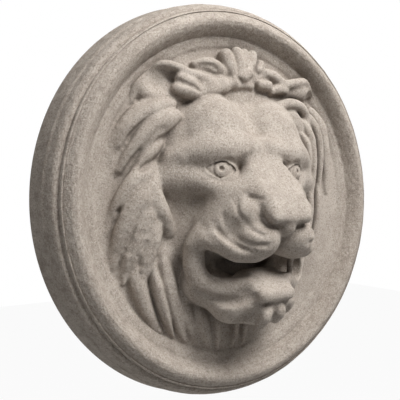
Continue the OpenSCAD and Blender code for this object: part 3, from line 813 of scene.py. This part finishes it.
def carved_roundel():
    points, quads = surface_nets(plug, LOW_CORNER, HIGH_CORNER)
    head = new_object("carved_head", settled(plug, points), quads)
    close_holes(head)
    thin = head.modifiers.new("thin", "DECIMATE")
    thin.ratio = min(1, MOST_TRIANGLES / (2 * len(quads)))
    apply_modifiers(head)
    piece = turned_frame()
    piece.name = "stone_lion_roundel"
    union = piece.modifiers.new("union", "BOOLEAN")
    union.operation = "UNION"
    union.solver = "MANIFOLD"
    union.object = head
    apply_modifiers(piece)
    bpy.data.objects.remove(head)
    mesh = piece.data
    normals = coordinates(mesh, "vertex_normals")
    normals = np.stack([normals[:, 0], normals[:, 2], -normals[:, 1]], 1)
    points = from_world(coordinates(mesh))
    hidden, edge = hiddenness(points, normals)
    # hidden drives the painted shade in the folds; edge drives the paler worn edges
    for name, values in (("hidden", hidden), ("edge", edge)):
        mesh.attributes.new(name, "FLOAT", "POINT").data.foreach_set("value", values)
    world = to_world(weathered(points, normals))
    world = np.clip(world, LOW, HIGH)
    mesh.vertices.foreach_set("co", world.ravel())
    mesh.shade_smooth()
    mesh.set_sharp_from_angle(angle=SHARP_ANGLE)
    mesh.update()
    return piece


# ---------- Stone ----------

def stone_material():
    """Warm grey cast stone: mottled, with sandy grain, painted shade and dirt darkening the folds, and paler
    worn edges.
    """
    material = bpy.data.materials.new("cast_stone")
    material.use_nodes = True
    nodes, links = material.node_tree.nodes, material.node_tree.links
    shader = nodes["Principled BSDF"]
    shader.inputs["Roughness"].default_value = 0.92
    shader.inputs["Specular IOR Level"].default_value = 0.25
    place = nodes.new("ShaderNodeTexCoord").outputs["Object"]

    def grain(scale, detail=3.0, rough=0.6, vector=place):
        node = nodes.new("ShaderNodeTexNoise")
        node.inputs["Scale"].default_value = scale
        node.inputs["Detail"].default_value = detail
        node.inputs["Roughness"].default_value = rough
        links.new(vector, node.inputs["Vector"])
        return node.outputs["Fac"]

    def spread(value, low, high, to_low=0.0, to_high=1.0):
        node = nodes.new("ShaderNodeMapRange")
        links.new(value, node.inputs["Value"])
        for key, number in (("From Min", low), ("From Max", high), ("To Min", to_low), ("To Max", to_high)):
            node.inputs[key].default_value = number
        return node.outputs["Result"]

    def math_node(operation, a, b):
        node = nodes.new("ShaderNodeMath")
        node.operation = operation
        for socket, value in zip(node.inputs, (a, b)):
            if isinstance(value, (int, float)):
                socket.default_value = value
            else:
                links.new(value, socket)
        return node.outputs["Value"]

    def blend(amount, first, second, mode="MIX"):
        node = nodes.new("ShaderNodeMix")
        node.data_type = "RGBA"
        node.blend_type = mode
        colours = [socket for socket in node.inputs if socket.type == "RGBA"]
        for socket, value in zip(colours, (first, second)):
            if isinstance(value, tuple):
                socket.default_value = value + (1,)
            else:
                links.new(value, socket)
        links.new(amount, node.inputs["Factor"])
        return node.outputs[2]

    def attribute(name):
        node = nodes.new("ShaderNodeAttribute")
        node.attribute_name = name
        return node.outputs["Fac"]

    # a place on the frame as (radius, direction), so that tool marks run round it
    split = nodes.new("ShaderNodeSeparateXYZ")
    links.new(place, split.inputs["Vector"])
    across_squared = math_node("MULTIPLY", split.outputs["X"], split.outputs["X"])
    up_squared = math_node("MULTIPLY", split.outputs["Z"], split.outputs["Z"])
    radius = math_node("SQRT", math_node("ADD", across_squared, up_squared), 0)
    round_frame = nodes.new("ShaderNodeCombineXYZ")
    links.new(math_node("MULTIPLY", radius, 14.0), round_frame.inputs["X"])
    links.new(math_node("DIVIDE", split.outputs["X"], radius), round_frame.inputs["Y"])
    links.new(math_node("DIVIDE", split.outputs["Z"], radius), round_frame.inputs["Z"])
    streaks = grain(24.0, 3.0, 0.65, round_frame.outputs["Vector"])
    on_frame = spread(radius, FRAME_FROM * SCALE, (FRAME_FROM + 10) * SCALE)

    colour = blend(spread(grain(9, 4, 0.6), 0.35, 0.65), STONE_DARK, STONE_MID)
    colour = blend(spread(grain(60, 4, 0.65), 0.42, 0.7, 0, 0.55), colour, STONE_PALE)
    colour = blend(spread(attribute("edge"), 0.25, 0.75, 0, 0.45), colour, STONE_WORN)
    colour = blend(spread(grain(560, 2, 0.75), 0.5, 0.66, 0, 0.75), colour, STONE_PALE)
    colour = blend(spread(grain(430, 2, 0.75), 0.52, 0.68, 0, 0.7), colour, STONE_SPECK)
    marks = math_node("MULTIPLY", on_frame, spread(streaks, 0.48, 0.66, 0, 0.42))
    colour = blend(marks, colour, STONE_SPECK)
    # painted shade, with some dirt: the more hidden a place is, the darker its colour is made, towards dark
    # brown
    folds = spread(attribute("hidden"), 0.15, 0.75)
    shade_and_dirt = math_node("MULTIPLY", folds, spread(grain(90, 3), 0.25, 0.6, 0.55, 1))
    colour = blend(math_node("MULTIPLY", shade_and_dirt, 0.6), colour, STONE_SHADE_AND_DIRT)
    links.new(colour, shader.inputs["Base Color"])

    fine = math_node("MULTIPLY", grain(620, 3, 0.75), 0.6)
    coarse = math_node("MULTIPLY", grain(280, 3, 0.7), 0.8)
    height = math_node("ADD", fine, coarse)
    height = math_node("ADD", height, math_node("MULTIPLY", on_frame, math_node("MULTIPLY", streaks, 1.3)))
    bump = nodes.new("ShaderNodeBump")
    bump.inputs["Strength"].default_value = 0.8
    bump.inputs["Distance"].default_value = 0.0014
    links.new(height, bump.inputs["Height"])
    links.new(bump.outputs["Normal"], shader.inputs["Normal"])
    return material


STONE_DARK = (0.34, 0.292, 0.248)
STONE_MID = (0.42, 0.365, 0.315)
STONE_PALE = (0.55, 0.49, 0.43)
STONE_WORN = (0.54, 0.475, 0.41)
STONE_SPECK = (0.2, 0.165, 0.135)
# the dark brown of the painted shade and dirt in the folds
STONE_SHADE_AND_DIRT = (0.15, 0.122, 0.1)

piece = carved_roundel()
piece.data.materials.clear()
piece.data.materials.append(stone_material())
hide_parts(NODE)
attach(piece, "root")


# ---------- Stage, light and camera ----------

RADIUS = (HIGH[0] - LOW[0]) / 2
FLOOR_DROP = 1.0
FLOOR_SIZE = 12.0


def seen_rays(nodes, links):
    """1 for the rays that show the background: from the camera, in a gloss or through glass."""
    path = nodes.new("ShaderNodeLightPath")
    seen = path.outputs["Is Camera Ray"]
    for kind in ("Is Glossy Ray", "Is Transmission Ray"):
        either = nodes.new("ShaderNodeMath")
        either.operation = "MAXIMUM"
        links.new(seen, either.inputs[0])
        links.new(path.outputs[kind], either.inputs[1])
        seen = either.outputs["Value"]
    return seen


def floor():
    """A plain pale floor under the piece. The camera sees most of it as white, with a soft shadow."""
    bpy.ops.mesh.primitive_plane_add(size=FLOOR_SIZE, location=(0, 0, LOW[2] - FLOOR_DROP))
    plane = bpy.context.object
    plane.name = "floor"
    material = bpy.data.materials.new("floor")
    material.use_nodes = True
    nodes, links = material.node_tree.nodes, material.node_tree.links
    shader = nodes["Principled BSDF"]
    shader.inputs["Base Color"].default_value = (0.9, 0.9, 0.9, 1)
    shader.inputs["Roughness"].default_value = 1.0
    glow = nodes.new("ShaderNodeEmission")
    glow.inputs["Color"].default_value = (1, 1, 1, 1)
    mix = nodes.new("ShaderNodeMixShader")
    amount = nodes.new("ShaderNodeMath")
    amount.operation = "MULTIPLY"
    amount.inputs[1].default_value = 0.95
    links.new(seen_rays(nodes, links), amount.inputs[0])
    links.new(amount.outputs["Value"], mix.inputs["Fac"])
    links.new(shader.outputs["BSDF"], mix.inputs[1])
    links.new(glow.outputs["Emission"], mix.inputs[2])
    links.new(mix.outputs["Shader"], nodes["Material Output"].inputs["Surface"])
    plane.data.materials.append(material)


def world(strength):
    """Soft grey light from all round; the camera sees white."""
    sky = bpy.data.worlds.new("studio")
    bpy.context.scene.world = sky
    sky.use_nodes = True
    nodes, links = sky.node_tree.nodes, sky.node_tree.links
    background = nodes["Background"]
    background.inputs["Color"].default_value = (1, 1, 1, 1)
    seen = nodes.new("ShaderNodeMapRange")
    links.new(seen_rays(nodes, links), seen.inputs["Value"])
    seen.inputs["To Min"].default_value = strength
    links.new(seen.outputs["Result"], background.inputs["Strength"])


def direction(azimuth, elevation):
    """The way from the piece to a viewer or lamp. Azimuth 0 faces the lion, and it grows to its left."""
    a, e = math.radians(azimuth), math.radians(elevation)
    return Vector((math.sin(a) * math.cos(e), -math.cos(a) * math.cos(e), math.sin(e)))


def lamp(name, azimuth, elevation, distance, size, power):
    data = bpy.data.lights.new(name, "AREA")
    data.size = size
    data.energy = power
    obj = bpy.data.objects.new(name, data)
    bpy.context.scene.collection.objects.link(obj)
    way = direction(azimuth, elevation)
    obj.location = way * distance
    obj.rotation_euler = (-way).to_track_quat("-Z", "Y").to_euler()


VIEW_AZIMUTH = -34.286
VIEW_ELEVATION = 0.329
VIEW_DISTANCE = 3.0112
VIEW_ASIDE = 0.0869
VIEW_ABOVE = 0.0033
SENSOR = 36.0
FOCAL = 51.1


def camera():
    """The photograph's camera: its distance and aim are in radii of the disc."""
    back = direction(VIEW_AZIMUTH, VIEW_ELEVATION)
    right = Vector((math.cos(math.radians(VIEW_AZIMUTH)), math.sin(math.radians(VIEW_AZIMUTH)), 0))
    up = back.cross(right)
    data = bpy.data.cameras.new("camera")
    data.sensor_width = SENSOR
    data.lens = FOCAL
    data.clip_start = 0.01
    obj = bpy.data.objects.new("camera", data)
    bpy.context.scene.collection.objects.link(obj)
    turn = Matrix((right, up, back)).transposed().to_4x4()
    spot = (back * VIEW_DISTANCE - right * VIEW_ASIDE - up * VIEW_ABOVE) * RADIUS
    obj.matrix_world = Matrix.Translation(spot) @ turn
    bpy.context.scene.camera = obj


floor()
world(0.07)
lamp("key", 16, 46, 1.58, 0.7, 35)
lamp("fill", -62, 42, 2.0, 1.0, 9)
lamp("low_fill", 60, -5, 2.0, 1.0, 2)
camera()
bpy.context.scene.view_settings.view_transform = "Standard"
